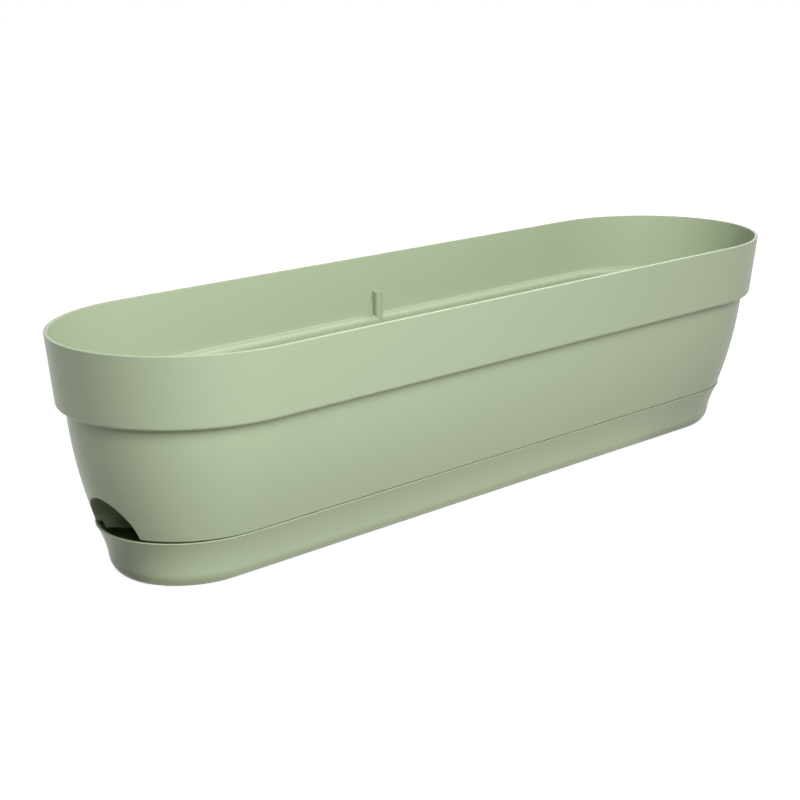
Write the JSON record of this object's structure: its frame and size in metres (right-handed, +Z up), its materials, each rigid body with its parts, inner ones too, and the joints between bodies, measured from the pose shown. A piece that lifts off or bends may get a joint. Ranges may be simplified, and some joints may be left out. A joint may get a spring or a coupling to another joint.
{
  "type": "balcony planter",
  "caption": "Long oval balcony planter with a tall rim band, tapering wall, arched watering mouths low in the ends, and a drip tray that it lifts out of.",
  "frame": {"origin": "middle of the drip tray's underside, on the surface that the planter stands on", "axes": "+X along the planter, +Y across it towards the back long side, +Z up"},
  "size_m": [0.7, 0.1876, 0.1713],
  "materials": {
    "body_plastic": "satin moulded polypropylene, pale grey green",
    "tray_plastic": "satin moulded polypropylene, pale grey green"
  },
  "bodies": {
    "tray": {"drip_tray": "tray_plastic"},
    "planter": {"planter_body": "body_plastic"}
  },
  "joints": [
    {"name": "planter_lift", "type": "slide", "parent": "tray", "child": "planter", "axis": [0, 0, 1], "range_m": [0, 0.1]}
  ]
}
